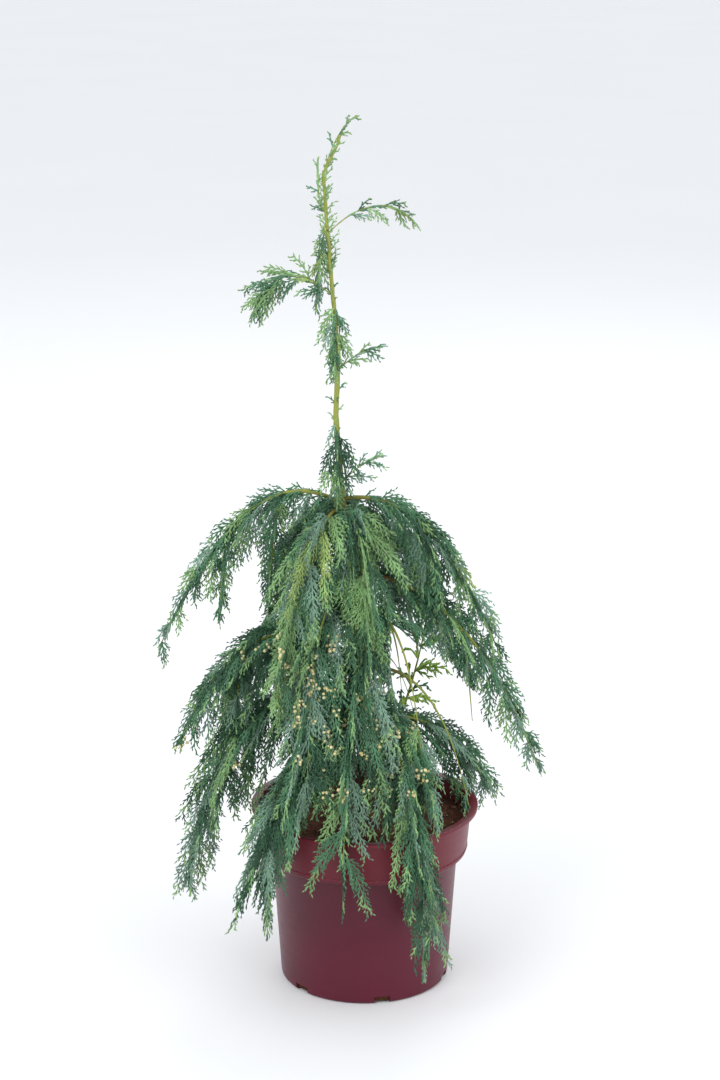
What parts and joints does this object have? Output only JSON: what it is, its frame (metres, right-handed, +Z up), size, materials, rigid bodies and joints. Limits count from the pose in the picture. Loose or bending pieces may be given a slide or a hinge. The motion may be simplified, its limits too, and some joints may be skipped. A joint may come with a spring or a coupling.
{
  "type": "potted weeping nootka cypress",
  "caption": "Small weeping conifer with a thin upright leader and hanging boughs of scaly foliage, growing in a round stepped nursery pot that stands on its flat foot.",
  "frame": {"origin": "centre of the pot's flat underside, on the surface it stands on", "axes": "+Z up along the pot's axis, -Y towards the viewer of the picture, +X to that viewer's right"},
  "size_m": [0.3092, 0.2351, 0.72],
  "materials": {
    "pot": "satin burgundy moulded plastic",
    "soil": "damp brown peat and bark with pale grains",
    "bark": "thin scaly brown bark, yellow-green on young stems",
    "foliage": "blue-green scale leaves in hanging flat sprays",
    "rootstock_foliage": "coarse yellow-green scale leaves"
  },
  "bodies": {
    "root": {"bough_lower_front": "bark", "bough_lower_front_left": "bark", "bough_lower_front_right": "bark", "bough_lower_left": "bark", "bough_lower_rear": "bark", "bough_lower_rear_right": "bark", "bough_lower_right": "bark", "bough_middle_front_left": "bark", "bough_middle_front_right": "bark", "bough_middle_left": "bark", "bough_middle_rear_left": "bark", "bough_middle_rear_right": "bark", "bough_middle_right": "bark", "bough_rootstock": "bark", "bough_upper_front": "bark", "bough_upper_front_left": "bark", "bough_upper_left": "bark", "bough_upper_rear": "bark", "bough_upper_rear_left": "bark", "bough_upper_rear_right": "bark", "bough_upper_right": "bark", "foliage_leader_front": "foliage", "foliage_leader_left": "foliage", "foliage_leader_lower_right": "foliage", "foliage_leader_right": "foliage", "foliage_leader_side": "foliage", "foliage_leader_top": "foliage", "foliage_leader_upper_left": "foliage", "foliage_lower_front": "foliage", "foliage_lower_front_left": "foliage", "foliage_lower_front_right": "foliage", "foliage_lower_left": "foliage", "foliage_lower_rear": "foliage", "foliage_lower_rear_right": "foliage", "foliage_lower_right": "foliage", "foliage_middle_front_left": "foliage", "foliage_middle_front_right": "foliage", "foliage_middle_left": "foliage", "foliage_middle_rear_left": "foliage", "foliage_middle_rear_right": "foliage", "foliage_middle_right": "foliage", "foliage_neck": "foliage", "foliage_neck_right": "foliage", "foliage_rootstock": "rootstock_foliage", "foliage_upper_front": "foliage", "foliage_upper_front_left": "foliage", "foliage_upper_left": "foliage", "foliage_upper_rear": "foliage", "foliage_upper_rear_left": "foliage", "foliage_upper_rear_right": "foliage", "foliage_upper_right": "foliage", "pendant_middle_left": "foliage", "pendant_middle_right": "foliage", "pendant_upper_left_inner": "foliage", "pendant_upper_left_outer": "foliage", "pendant_upper_right": "foliage", "pot": "pot", "soil": "soil", "trunk": "bark"}
  },
  "joints": []
}
